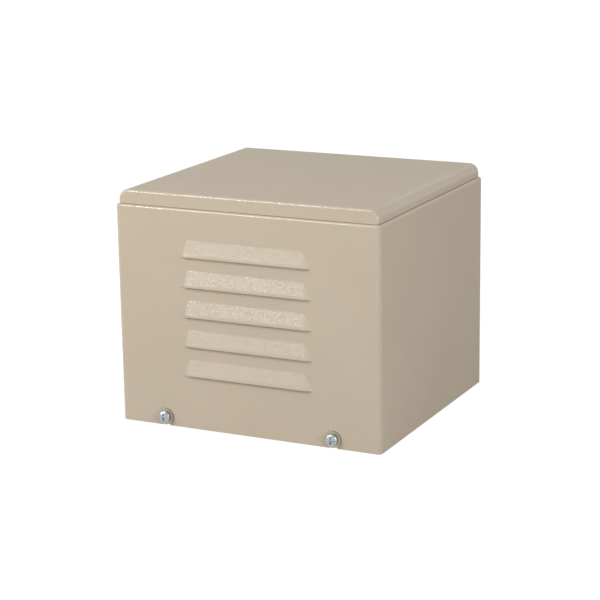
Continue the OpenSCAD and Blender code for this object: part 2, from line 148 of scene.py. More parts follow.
class Piece:
    """One mesh object that operators shape as by hand, with its place in its mesh."""

    def __init__(self, obj: bpy.types.Object) -> None:
        """Take an object to the bench.

        Args:
            obj: The mesh object to shape.
        """
        self.obj = obj

    @classmethod
    def newest(cls, name: str) -> "Piece":
        """Name the object that an operator has just added and put its place in its mesh.

        Args:
            name: The piece's name.

        Returns:
            The new piece.
        """
        piece = cls(bpy.context.object)
        piece.obj.name = name
        piece.obj.data.name = name
        bpy.ops.object.transform_apply(location=True, rotation=True, scale=True)
        return piece

    @classmethod
    def block(cls, name: str, low: Vector, high: Vector) -> "Piece":
        """Start from a cube between two corners.

        Args:
            name: The piece's name.
            low: The lowest corner.
            high: The highest corner.

        Returns:
            The new piece.
        """
        cls.put_down()
        bpy.ops.mesh.primitive_cube_add(size=1, location=(low + high) / 2)
        bpy.context.object.scale = high - low
        return cls.newest(name)

    @classmethod
    def prism(cls, name: str, sides: int, radius: float, low: float, high: float) -> "Piece":
        """Start from an upright prism on the Z axis.

        Args:
            name: The piece's name.
            sides: The number of sides.
            radius: The distance from the axis to a corner.
            low: The height of the bottom.
            high: The height of the top.

        Returns:
            The new piece.
        """
        cls.put_down()
        bpy.ops.mesh.primitive_cylinder_add(
            vertices=sides, radius=radius, depth=high - low, location=(0, 0, (low + high) / 2)
        )
        return cls.newest(name)

    @classmethod
    def line(cls, name: str, points: Profile) -> "Piece":
        """Draw a line of edges in the XZ plane by extruding one point along it.

        Args:
            name: The piece's name.
            points: The x and z of each point.

        Returns:
            The new piece, which has edges only.
        """
        cls.put_down()
        bpy.ops.mesh.primitive_plane_add(size=MM)
        piece = cls.newest(name)
        with piece.editing(Select.POINTS):
            bpy.ops.mesh.select_all(action="SELECT")
            bpy.ops.mesh.merge(type="CENTER")
            here = Vector(points[0])
            bpy.ops.transform.translate(value=(here.x, 0, here.y))
            for point in points[1:]:
                step = Vector(point) - here
                bpy.ops.mesh.extrude_region_move(
                    TRANSFORM_OT_translate={"value": (step.x, 0, step.y)}
                )
                here = Vector(point)
        return piece

    @classmethod
    def turned(cls, name: str, profile: Profile, steps: int = 64) -> "Piece":
        """Turn a profile round the Z axis, as on a lathe.

        Args:
            name: The piece's name.
            profile: The radius and height of each point of the section.
            steps: The number of steps in a turn.

        Returns:
            The new closed piece.
        """
        piece = cls.line(name, profile)
        with piece.editing(Select.POINTS):
            bpy.ops.mesh.select_all(action="SELECT")
            bpy.ops.mesh.spin(steps=steps, angle=FULL_TURN, center=(0, 0, 0), axis=(0, 0, 1))
        piece.close()
        return piece

    @classmethod
    def copy_of(cls, node: str, name: str) -> "Piece":
        """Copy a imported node's mesh and merge its loose triangles into flat faces.

        Args:
            node: The node's name.
            name: The piece's name.

        Returns:
            The new piece, in the node's place.
        """
        cls.put_down()
        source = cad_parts[node]
        obj = bpy.data.objects.new(name, source.data.copy())
        obj.data.name = name
        bpy.context.scene.collection.objects.link(obj)
        piece = cls(obj)
        piece.hold()
        bpy.ops.mesh.customdata_custom_splitnormals_clear()
        with piece.editing(Select.POINTS):
            bpy.ops.mesh.select_all(action="SELECT")
            bpy.ops.mesh.remove_doubles(threshold=WELD)
            bpy.ops.mesh.dissolve_limited(angle_limit=math.radians(0.3))
        return piece

    @classmethod
    def rounded_copy(cls, node: str, name: str, width: float) -> "Piece":
        """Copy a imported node, round its sharp edges and shade it.

        Args:
            node: The node's name.
            name: The piece's name.
            width: The width of the rounding.

        Returns:
            The new piece, in the node's place.
        """
        piece = cls.copy_of(node, name)
        piece.modify(
            "BEVEL", width=width, segments=2, limit_method="ANGLE",
            angle_limit=math.radians(SHARP_DEG), use_clamp_overlap=False,
        )
        piece.shade()
        return piece

    @staticmethod
    def put_down() -> None:
        """Leave edit mode and let go of every object."""
        if bpy.context.mode != "OBJECT":
            bpy.ops.object.mode_set(mode="OBJECT")
        bpy.ops.object.select_all(action="DESELECT")

    def hold(self) -> None:
        """Take hold of this piece alone."""
        self.put_down()
        self.obj.select_set(True)
        bpy.context.view_layer.objects.active = self.obj

    @contextmanager
    def editing(self, kind: Select) -> Iterator[None]:
        """Open this piece alone in edit mode.

        Args:
            kind: What is selected there.

        Yields:
            Nothing; edit mode ends with the block.
        """
        self.hold()
        bpy.ops.object.mode_set(mode="EDIT")
        bpy.ops.mesh.select_mode(type=kind.value)
        yield
        bpy.ops.object.mode_set(mode="OBJECT")

    @contextmanager
    def chosen_faces(self, test: Callable[[Vector, Vector], bool]) -> Iterator[None]:
        """Open edit mode with only the faces selected that pass a test.

        Args:
            test: Gets a face's middle and its normal.

        Yields:
            Nothing; edit mode ends with the block.
        """
        with self.editing(Select.FACES):
            bpy.ops.mesh.select_all(action="DESELECT")
            bpy.ops.object.mode_set(mode="OBJECT")
            for face in self.obj.data.polygons:
                face.select = test(face.center, face.normal)
            bpy.ops.object.mode_set(mode="EDIT")
            yield

    @contextmanager
    def chosen_edges(self, test: Callable[[Vector, Vector], bool]) -> Iterator[None]:
        """Open edit mode with only the edges selected that pass a test.

        Args:
            test: Gets the two ends of an edge.

        Yields:
            Nothing; edit mode ends with the block.
        """
        with self.editing(Select.EDGES):
            bpy.ops.mesh.select_all(action="DESELECT")
            bpy.ops.object.mode_set(mode="OBJECT")
            points = self.obj.data.vertices
            for edge in self.obj.data.edges:
                start, end = edge.vertices
                edge.select = test(points[start].co, points[end].co)
            bpy.ops.object.mode_set(mode="EDIT")
            yield

    def close(self) -> None:
        """Merge doubled points and turn every face outwards."""
        with self.editing(Select.POINTS):
            bpy.ops.mesh.select_all(action="SELECT")
            bpy.ops.mesh.remove_doubles(threshold=WELD)
            bpy.ops.mesh.normals_make_consistent(inside=False)

    def modify(self, kind: str, **settings: object) -> None:
        """Add a modifier and apply it.

        Args:
            kind: The modifier's type.
            settings: The values of its settings.
        """
        self.hold()
        modifier = self.obj.modifiers.new(kind.title(), kind)
        for key, value in settings.items():
            setattr(modifier, key, value)
        bpy.ops.object.modifier_apply(modifier=modifier.name)

    def combine(self, tool: "Piece", cut: Cut) -> None:
        """Add, take away or keep the shape of another piece, which is used up.

        Args:
            tool: The other piece.
            cut: What is done with it.
        """
        self.modify("BOOLEAN", object=tool.obj, operation=cut.value, solver="EXACT")
        bpy.data.objects.remove(tool.obj)

    def shade(self, angle: float = 35) -> None:
        """Shade curves smooth and keep flat faces flat.

        Args:
            angle: The angle, in degrees, above which an edge stays sharp.
        """
        self.hold()
        bpy.ops.object.shade_smooth_by_angle(angle=math.radians(angle))
        self.modify("WEIGHTED_NORMAL", weight=100, keep_sharp=True)

    def move(self, place: Matrix) -> None:
        """Move the mesh and leave the object at the origin.

        Args:
            place: Where the piece goes.
        """
        self.hold()
        self.obj.matrix_world = place
        bpy.ops.object.transform_apply(location=True, rotation=True, scale=True)

    def spread(self, places: Sequence[Matrix]) -> None:
        """Set a copy of this piece, with its own mesh, at each place and join them.

        Args:
            places: Where the copies go.
        """
        copies = []
        for place in places:
            obj = self.obj.copy()
            obj.data = self.obj.data.copy()
            bpy.context.scene.collection.objects.link(obj)
            copy = Piece(obj)
            copy.move(place)
            copies.append(copy)
        name = self.obj.name
        bpy.data.objects.remove(self.obj)
        self.obj = copies[0].obj
        self.join(copies[1:])
        self.obj.name = name
        self.obj.data.name = name

    def join(self, others: Sequence["Piece"]) -> None:
        """Make other pieces part of this object.

        Args:
            others: The pieces to join, which are used up.
        """
        self.hold()
        for other in others:
            other.obj.select_set(True)
        bpy.ops.object.join()

    def finish(self, finish: "Finish", body: Body, *nodes: str) -> None:
        """Give the piece its material, its body and the nodes that it stands for.

        Args:
            finish: The finish of its surface.
            body: The body that it rides on.
            nodes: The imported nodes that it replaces.
        """
        self.obj.data.materials.clear()
        self.obj.data.materials.append(finish.material)
        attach(self.obj, body.value)
        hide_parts(*nodes)
        log.info("%s: %d faces, rides on %s", self.obj.name, len(self.obj.data.polygons), body.value)


class Graph:
    """A node tree, with short calls that add and join nodes."""

    def __init__(self, tree: bpy.types.NodeTree) -> None:
        """Start from an empty tree.

        Args:
            tree: The tree to fill.
        """
        self.tree = tree
        self.tree.nodes.clear()

    def add(self, kind: str, inputs: dict[str, object] | None = None, **settings: object) -> bpy.types.Node:
        """Add a node, set it and feed it.

        Args:
            kind: The node's type, without its ShaderNode prefix.
            inputs: A number, colour or output socket for each named input.
            settings: The values of the node's own settings.

        Returns:
            The new node.
        """
        prefix = "" if kind.startswith("NodeGroup") else "ShaderNode"
        node = self.tree.nodes.new(prefix + kind)
        for key, value in settings.items():
            setattr(node, key, value)
        for key, value in (inputs or {}).items():
            self.feed(node.inputs[key], value)
        return node

    def feed(self, socket: bpy.types.NodeSocket, value: object) -> None:
        """Link an output to a socket, or set the socket to a value.

        Args:
            socket: The input socket.
            value: An output socket, a number or a colour.
        """
        if isinstance(value, bpy.types.NodeSocket):
            self.tree.links.new(value, socket)
        elif socket.type == "RGBA":
            socket.default_value = (*value, 1)
        else:
            socket.default_value = value

    def maths(self, operation: str, first: object, second: object) -> bpy.types.NodeSocket:
        """Work out one number from two.

        Args:
            operation: The operation's name.
            first: The first number or output.
            second: The second number or output.

        Returns:
            The output with the result.
        """
        node = self.add("Math", operation=operation)
        self.feed(node.inputs[0], first)
        self.feed(node.inputs[1], second)
        return node.outputs[0]

    def blend(self, share: bpy.types.NodeSocket, first: object, second: object) -> bpy.types.NodeSocket:
        """Mix two colours.

        Args:
            share: The output with the second colour's share.
            first: The first colour or output.
            second: The second colour or output.

        Returns:
            The output with the mixed colour.
        """
        node = self.add("Mix", {"Factor": share}, data_type="RGBA")
        self.feed(node.inputs[6], first)
        self.feed(node.inputs[7], second)
        return node.outputs[2]

    def ramp(self, value: bpy.types.NodeSocket, low: float, high: float,
             start: object = 0, end: object = 1) -> bpy.types.NodeSocket:
        """Stretch a value from one range to another, clamped.

        Args:
            value: The output to stretch.
            low: The value that becomes start.
            high: The value that becomes end.
            start: The result at low, a number or an output.
            end: The result at high, a number or an output.

        Returns:
            The output with the result.
        """
        node = self.add("MapRange", {
            "Value": value, "From Min": low, "From Max": high, "To Min": start, "To Max": end,
        })
        return node.outputs["Result"]


class Effect:
    """A shader node group that several finishes share."""

    def __init__(self, name: str, inputs: dict[str, str], outputs: dict[str, str]) -> None:
        """Open a group and make its sockets.

        Args:
            name: The group's name.
            inputs: The socket type of each input, by name.
            outputs: The socket type of each output, by name.
        """
        self.tree = bpy.data.node_groups.new(name, "ShaderNodeTree")
        for side, sockets in (("INPUT", inputs), ("OUTPUT", outputs)):
            for label, kind in sockets.items():
                self.tree.interface.new_socket(name=label, in_out=side, socket_type="NodeSocket" + kind)
        self.graph = Graph(self.tree)
        self.source = self.graph.add("NodeGroupInput").outputs
        self.sink = self.graph.add("NodeGroupOutput").inputs

    def place(self, graph: Graph, inputs: dict[str, object]) -> bpy.types.NodeOutputs:
        """Place the group in a material.

        Args:
            graph: The material's graph.
            inputs: The value or output for each input.

        Returns:
            The group's outputs.
        """
        node = graph.add("Group", node_tree=self.tree)
        for key, value in inputs.items():
            graph.feed(node.inputs[key], value)
        return node.outputs


class OrangePeel(Effect):
    """Height of a sprayed or moulded skin: soft cells with a finer grain on them."""

    def __init__(self) -> None:
        """Build the group."""
        super().__init__(
            "orange_peel",
            {"Vector": "Vector", "Size": "Float", "Grain": "Float"},
            {"Height": "Float"},
        )
        graph = self.graph
        scale = graph.maths("DIVIDE", 1, self.source["Size"])
        cells = graph.add("TexVoronoi", {
            "Vector": self.source["Vector"], "Scale": scale, "Smoothness": 1,
        }, feature="SMOOTH_F1")
        swell = graph.add("TexNoise", {
            "Vector": self.source["Vector"], "Scale": scale, "Detail": 2, "Roughness": 0.45,
        })
        grain = graph.add("TexNoise", {
            "Vector": self.source["Vector"], "Scale": graph.maths("MULTIPLY", scale, 4.5), "Detail": 1,
        })
        soft = graph.maths("ADD", cells.outputs["Distance"], swell.outputs["Fac"])
        fine = graph.maths("MULTIPLY", grain.outputs["Fac"], self.source["Grain"])
        graph.feed(self.sink["Height"], graph.maths("ADD", soft, fine))


class ToneDrift(Effect):
    """Colour that wanders slowly between two tones."""

    def __init__(self) -> None:
        """Build the group."""
        super().__init__(
            "tone_drift",
            {"Vector": "Vector", "Size": "Float", "Tone A": "Color", "Tone B": "Color"},
            {"Color": "Color"},
        )
        graph = self.graph
        drift = graph.add("TexNoise", {
            "Vector": self.source["Vector"],
            "Scale": graph.maths("DIVIDE", 1, self.source["Size"]), "Detail": 3,
        })
        share = graph.ramp(drift.outputs["Fac"], 0.3, 0.7)
        tone = graph.blend(share, self.source["Tone A"], self.source["Tone B"])
        graph.feed(self.sink["Color"], tone)


class GlossDrift(Effect):
    """Roughness that wanders between two levels, as handling and spraying leave it."""

    def __init__(self) -> None:
        """Build the group."""
        super().__init__(
            "gloss_drift",
            {"Vector": "Vector", "Size": "Float", "Low": "Float", "High": "Float"},
            {"Roughness": "Float"},
        )
        graph = self.graph
        drift = graph.add("TexNoise", {
            "Vector": self.source["Vector"],
            "Scale": graph.maths("DIVIDE", 1, self.source["Size"]), "Detail": 4, "Roughness": 0.6,
        })
        level = graph.ramp(drift.outputs["Fac"], 0.3, 0.7, self.source["Low"], self.source["High"])
        graph.feed(self.sink["Roughness"], level)


class Burnish(Effect):
    """Mask of the bent and pressed sheet: all that turns away from the flat faces."""

    def __init__(self) -> None:
        """Build the group."""
        super().__init__("burnish", {"Normal": "Vector"}, {"Mask": "Float"})
        graph = self.graph
        sides = graph.add("SeparateXYZ", {"Vector": self.source["Normal"]}).outputs
        across, along, up = (graph.maths("ABSOLUTE", side, 0) for side in sides)
        flat = graph.maths("MAXIMUM", graph.maths("MAXIMUM", across, along), up)
        graph.feed(self.sink["Mask"], graph.ramp(flat, 0.996, 0.976))


@dataclass
class Effects:
    """The shared node groups, built once."""

    peel: OrangePeel = field(default_factory=OrangePeel)
    tone: ToneDrift = field(default_factory=ToneDrift)
    gloss: GlossDrift = field(default_factory=GlossDrift)
    burnish: Burnish = field(default_factory=Burnish)


class Finish:
    """A surface finish: a material and the record's slot that it belongs to."""

    slot: Slot
    variant = ""

    def __init__(self, effects: Effects) -> None:
        """Make the material.

        Args:
            effects: The shared node groups.
        """
        self.effects = effects
        self.material = bpy.data.materials.new(self.slot.value + self.variant)
        self.material.use_nodes = True
        self.graph = Graph(self.material.node_tree)
        self.place = self.graph.add("TexCoord").outputs["Object"]
        self.shader = self.graph.add("BsdfPrincipled")
        output = self.graph.add("OutputMaterial")
        self.graph.feed(output.inputs["Surface"], self.shader.outputs["BSDF"])
        self.paint()

    def paint(self) -> None:
        """Join the effects to the shader."""
        raise NotImplementedError

    def feed(self, **inputs: object) -> None:
        """Set or link the shader's sockets.

        Args:
            inputs: A value or output for each socket, with underscores for spaces.
        """
        for key, value in inputs.items():
            self.graph.feed(self.shader.inputs[key.replace("_", " ")], value)

    def tone(self, size: float, first: Colour, second: Colour) -> None:
        """Let the base colour wander.

        Args:
            size: The size of a patch.
            first: One tone.
            second: The other tone.
        """
        outputs = self.effects.tone.place(self.graph, {
            "Vector": self.place, "Size": size, "Tone A": first, "Tone B": second,
        })
        self.feed(Base_Color=outputs["Color"])

    def gloss(self, size: float, low: float, high: float) -> None:
        """Let the roughness wander.

        Args:
            size: The size of a patch.
            low: The least roughness.
            high: The greatest roughness.
        """
        outputs = self.effects.gloss.place(self.graph, {
            "Vector": self.place, "Size": size, "Low": low, "High": high,
        })
        self.feed(Roughness=outputs["Roughness"])

    def bump(self, height: bpy.types.NodeSocket, depth: float) -> None:
        """Raise the surface by a height.

        Args:
            height: The output with the height, about 0 to 1.
            depth: The depth of that height.
        """
        node = self.graph.add("Bump", {"Height": height, "Distance": depth})
        self.feed(Normal=node.outputs["Normal"])

    def skin(self, size: float, grain: float, depth: float) -> None:
        """Raise the orange peel of a sprayed or moulded skin.

        Args:
            size: The size of a cell.
            grain: The share of the finer grain.
            depth: The depth of the whole.
        """
        outputs = self.effects.peel.place(self.graph, {"Vector": self.place, "Size": size, "Grain": grain})
        self.bump(outputs["Height"], depth)

    def marks(self, size: float, depth: float) -> None:
        """Raise fine marks.

        Args:
            size: The size of a mark.
            depth: Its depth.
        """
        noise = self.graph.add("TexNoise", {"Vector": self.place, "Scale": 1 / size, "Detail": 2})
        self.bump(noise.outputs["Fac"], depth)


class PowderCoat(Finish):
    """Beige powder coat with fine glazed specks, burnished where the sheet is bent or pressed."""

    slot = Slot.COAT
    light_tone: Colour = (0.566, 0.482, 0.371)
    dark_tone: Colour = (0.546, 0.464, 0.355)
    tone_patch = 60 * MM
    gloss_patch = 9 * MM
    least_rough = 0.4
    most_rough = 0.46
    peel_size = 1.4 * MM
    peel_grain = 0.12
    peel_depth = 0.03 * MM
    speck_size = 0.9 * MM
    speck_range = (0.45, 0.6)
    least_speck = 0.08
    flat_glaze = 0.2
    bent_glaze = 1
    glaze_rough = 0.17
    glaze_ior = 1.9
    plain_shine = 0.02

    def paint(self) -> None:
        """Join the effects to the shader."""
        self.tone(self.tone_patch, self.light_tone, self.dark_tone)
        self.gloss(self.gloss_patch, self.least_rough, self.most_rough)
        self.skin(self.peel_size, self.peel_grain, self.peel_depth)
        facing = self.graph.add("TexCoord").outputs["Normal"]
        bent = self.effects.burnish.place(self.graph, {"Normal": facing})["Mask"]
        level = self.graph.ramp(bent, 0, 1, self.flat_glaze, self.bent_glaze)
        specks = self.graph.add("TexNoise", {"Vector": self.place, "Scale": 1 / self.speck_size, "Detail": 1})
        share = self.graph.ramp(specks.outputs["Fac"], *self.speck_range, self.least_speck, 1)
        glaze = self.graph.maths("MULTIPLY", level, share)
        self.feed(Coat_Weight=glaze, Coat_Roughness=self.glaze_rough, Coat_IOR=self.glaze_ior)
        self.feed(Specular_IOR_Level=self.plain_shine)


class ZincPlate(Finish):
    """Bright zinc plating, a little blue, with fine turning marks."""

    slot = Slot.ZINC
    cool_tone: Colour = (0.34, 0.37, 0.40)
    warm_tone: Colour = (0.48, 0.49, 0.48)
    tone_patch = 3 * MM
    gloss_patch = 1.2 * MM
    least_rough = 0.2
    most_rough = 0.34
    mark_size = 0.35 * MM
    mark_depth = 0.006 * MM

    def paint(self) -> None:
        """Join the effects to the shader."""
        self.tone(self.tone_patch, self.cool_tone, self.warm_tone)
        self.gloss(self.gloss_patch, self.least_rough, self.most_rough)
        self.marks(self.mark_size, self.mark_depth)
        self.feed(Metallic=1)


class CoatReflectionZinc(ZincPlate):
    """Rougher zinc plating whose tones carry a painted reflection of the beige coat, a darker yellow cast."""

    variant = "_coat_reflection"
    # Both tones are painted reflection: the beige coat's yellow mixed into the zinc's grey.
    cool_tone: Colour = (0.36, 0.33, 0.27)
    warm_tone: Colour = (0.44, 0.40, 0.32)
    least_rough = 0.34
    most_rough = 0.5


class Galvanised(Finish):
    """Galvanised strip: flat crystals of zinc, each with its own grey."""

    slot = Slot.GALVANISED
    light_tone: Colour = (0.56, 0.58, 0.60)
    dark_tone: Colour = (0.40, 0.42, 0.44)
    crystal = 5 * MM
    gloss_patch = 2.5 * MM
    least_rough = 0.34
    most_rough = 0.55
    mark_size = 0.8 * MM
    mark_depth = 0.01 * MM

    def paint(self) -> None:
        """Join the effects to the shader."""
        crystals = self.graph.add("TexVoronoi", {"Vector": self.place, "Scale": 1 / self.crystal})
        shade = self.graph.add("SeparateColor", {"Color": crystals.outputs["Color"]})
        tone = self.graph.blend(shade.outputs["Red"], self.light_tone, self.dark_tone)
        self.feed(Base_Color=tone, Metallic=1)
        self.gloss(self.gloss_patch, self.least_rough, self.most_rough)
        self.marks(self.mark_size, self.mark_depth)


class MouldedRubber(Finish):
    """Black moulded rubber with a matt, slightly dusty skin."""

    slot = Slot.RUBBER
    clean_tone: Colour = (0.020, 0.020, 0.021)
    dusty_tone: Colour = (0.042, 0.041, 0.040)
    tone_patch = 4 * MM
    gloss_patch = 2 * MM
    least_rough = 0.5
    most_rough = 0.68
    peel_size = 0.5 * MM
    peel_grain = 0.3
    peel_depth = 0.012 * MM

    def paint(self) -> None:
        """Join the effects to the shader."""
        self.tone(self.tone_patch, self.clean_tone, self.dusty_tone)
        self.gloss(self.gloss_patch, self.least_rough, self.most_rough)
        self.skin(self.peel_size, self.peel_grain, self.peel_depth)


@dataclass
class Finishes:
    """One of each finish."""

    coat: PowderCoat
    zinc: ZincPlate
    coat_reflection_zinc: CoatReflectionZinc
    galvanised: Galvanised
    rubber: MouldedRubber

    @classmethod
    def mixed(cls) -> "Finishes":
        """Make every finish from the same effects.

        Returns:
            The finishes.
        """
        effects = Effects()
        kinds = (PowderCoat, ZincPlate, CoatReflectionZinc, Galvanised, MouldedRubber)
        return cls(*(kind(effects) for kind in kinds))


class SubAssembly:
    """Pieces that belong together."""

    def build(self) -> None:
        """Model the pieces."""
        raise NotImplementedError

    def dress(self, finishes: Finishes) -> None:
        """Give the pieces their finish, body and nodes.

        Args:
            finishes: The finishes to choose from.
        """
        raise NotImplementedError


@dataclass
class Hood(SubAssembly):
    """The louvred hood, whose cut edges the coat rounds."""

    edge_round: float = 0.25 * MM

    def build(self) -> None:
        """Model the hood on its imported sheet."""
        self.shell = Piece.rounded_copy("hood", "louvred_hood", self.edge_round)

    def dress(self, finishes: Finishes) -> None:
        """Coat the hood."""
        self.shell.finish(finishes.coat, Body.COVER, "hood")


@dataclass
class RoofLid(SubAssembly):
    """The raised lid: a shallow pan with wide bends at its sides and tight ones at its ends."""

    sheet: float = 1.5 * MM
    side_r: float = 7 * MM
    bend_r: float = 1.8 * MM
    rim_round: float = 0.2 * MM
    side_steps: int = 16
    bend_steps: int = 8
    rim_steps: int = 3

    def build(self) -> None:
        """Fold the pan from a block."""
        span = Span.of("roof_lid")
        near = self.rim_round / 10
        top, bottom = span.high.z - near, span.low.z + near
        front, back = span.low.y + near, span.high.y - near
        self.pan = Piece.block("raised_lid", span.low, span.high)
        with self.pan.chosen_edges(lambda a, b: min(a.z, b.z) > top and abs(a.y - b.y) > near):
            bpy.ops.mesh.bevel(offset=self.side_r, segments=self.side_steps)
        with self.pan.chosen_edges(
            lambda a, b: (max(a.y, b.y) < front or min(a.y, b.y) > back) and max(a.z, b.z) > bottom
        ):
            bpy.ops.mesh.bevel(offset=self.bend_r, segments=self.bend_steps)
        with self.pan.chosen_faces(lambda middle, normal: normal.z < -FACING):
            bpy.ops.mesh.delete(type="FACE")
        self.pan.modify("SOLIDIFY", thickness=self.sheet, offset=-1, use_even_offset=True)
        with self.pan.chosen_faces(lambda middle, normal: normal.z < -FACING and middle.z < bottom):
            bpy.ops.mesh.region_to_loop()
            bpy.ops.mesh.bevel(offset=self.rim_round, segments=self.rim_steps)
        self.pan.shade()

    def dress(self, finishes: Finishes) -> None:
        """Coat the lid."""
        self.pan.finish(finishes.coat, Body.COVER, "roof_lid")


class Hardware:
    """Threads, nuts and washers, modelled once at the origin along +Z."""

    smooth_deg = 30
    buried = 0.1 * MM
    edge = 0.25 * MM

    @staticmethod
    def thread(name: str, crest_r: float, pitch: float, low: float, high: float,
               chamfer_low: float, chamfer_high: float) -> Piece:
        """Cut a thread with chamfered ends.

        Args:
            name: The piece's name.
            crest_r: The radius over the thread.
            pitch: The distance from one turn to the next.
            low: The height of the lower end.
            high: The height of the upper end.
            chamfer_low: The chamfer at the lower end.
            chamfer_high: The chamfer at the upper end.

        Returns:
            The new closed piece.
        """
        depth = 0.61 * pitch
        root_r = crest_r - depth
        flat = pitch / 8
        spare = 0.517
        start = low - 2 * pitch
        turns = math.ceil((high - low) / pitch) + 4
        rod = Piece.line(name, [
            (root_r, start), (root_r, start + flat),
            (crest_r, start + pitch / 2 - flat / 2), (crest_r, start + pitch / 2 + flat / 2),
            (root_r, start + pitch),
        ])
        rod.modify(
            "SCREW", axis="Z", angle=FULL_TURN, screw_offset=pitch, steps=32, render_steps=32,
            iterations=turns, use_merge_vertices=True, merge_threshold=WELD,
        )
        # Cut the rod long and between its points, so that no end lies in a face of the blank.
        with rod.editing(Select.POINTS):
            for turn, keep_above in ((2 - spare, True), (turns - spare, False)):
                bpy.ops.mesh.select_all(action="SELECT")
                bpy.ops.mesh.bisect(
                    plane_co=(0, 0, start + turn * pitch), plane_no=(0, 0, 1), use_fill=True,
                    clear_inner=keep_above, clear_outer=not keep_above, threshold=1e-7,
                )
        rod.close()
        reach = crest_r + MM
        blank = Piece.turned("thread_blank", [
            (0, low), (crest_r - chamfer_low, low), (reach, low + chamfer_low + MM),
            (reach, high - chamfer_high - MM), (crest_r - chamfer_high, high), (0, high),
        ])
        rod.combine(blank, Cut.KEEP)
        return rod

    @staticmethod
    def nut(name: str, thread_r: float, height: float, flange_r: float = 0) -> Piece:
        """Model a hexagon nut that stands on the XY plane.

        Args:
            name: The piece's name.
            thread_r: The radius of its bore.
            height: Its height.
            flange_r: The radius of a flange under it, or 0.

        Returns:
            The new closed piece.
        """
        flats_r = 1.6 * thread_r
        corner_r = flats_r / math.cos(math.pi / 6)
        chamfer = (corner_r - flats_r) * 0.9
        wide_r, rise, top = corner_r + chamfer * 0.4, chamfer * 0.6, height + chamfer * 0.1
        body = Piece.prism(name, 6, corner_r, 0, height)
        blank = Piece.turned("nut_blank", [
            (0, 0), (corner_r - rise, 0), (wide_r, rise), (wide_r, height - rise),
            (corner_r - chamfer, top), (0, top),
        ])
        body.combine(blank, Cut.KEEP)
        if flange_r:
            rim, rim_top, flange_top = 0.15 * MM, 0.5 * MM, thread_r / 2
            flange = Piece.turned("nut_flange", [
                (0, 0), (flange_r - rim, 0), (flange_r, rim), (flange_r, rim_top),
                (flats_r, flange_top), (0, flange_top),
            ])
            body.combine(flange, Cut.ADD)
        lead = Hardware.edge
        bore = Piece.turned("nut_bore", [
            (0, -MM), (thread_r + lead + MM, -MM), (thread_r, lead), (thread_r, height - lead),
            (thread_r + lead + MM, height + MM), (0, height + MM),
        ])
        body.combine(bore, Cut.TAKE)
        return body

    @staticmethod
    def washer(name: str, outer_r: float, bore_r: float, thickness: float, edge: float) -> Piece:
        """Model a flat washer that lies on the XY plane.

        Args:
            name: The piece's name.
            outer_r: Its outer radius.
            bore_r: The radius of its hole.
            thickness: Its thickness.
            edge: The rounding that stamping leaves on its upper edges.

        Returns:
            The new closed piece.
        """
        return Piece.turned(name, [
            (bore_r, 0), (outer_r, 0), (outer_r, thickness - edge),
            (outer_r - 0.3 * edge, thickness - 0.3 * edge),
            (outer_r - edge, thickness), (bore_r + edge, thickness),
            (bore_r + 0.3 * edge, thickness - 0.3 * edge), (bore_r, thickness - edge), (bore_r, 0),
        ])


def wall_places(xs: Sequence[float], front: float, back: float, height: float) -> list[Matrix]:
    """List places on the front and back walls, with +Z pointing out of the wall.

    Args:
        xs: The distances from the middle, left to right.
        front: The y of the places on the front.
        back: The y of the places on the back.
        height: Their height.

    Returns:
        A matrix for each place.
    """
    out_front = Matrix.Rotation(math.radians(90), 4, "X")
    out_back = Matrix.Rotation(math.radians(180), 4, "Z") @ out_front
    places = [Matrix.Translation((x, front, height)) @ out_front for x in xs]
    places += [Matrix.Translation((x, back, height)) @ out_back for x in xs]
    return places


def upright_places(centres: Sequence[tuple[float, float]], height: float) -> list[Matrix]:
    """List places at one height, with +Z pointing up.

    Args:
        centres: The x and y of each place.
        height: Their height.

    Returns:
        A matrix for each place.
    """
    return [Matrix.Translation((x, y, height)) for x, y in centres]


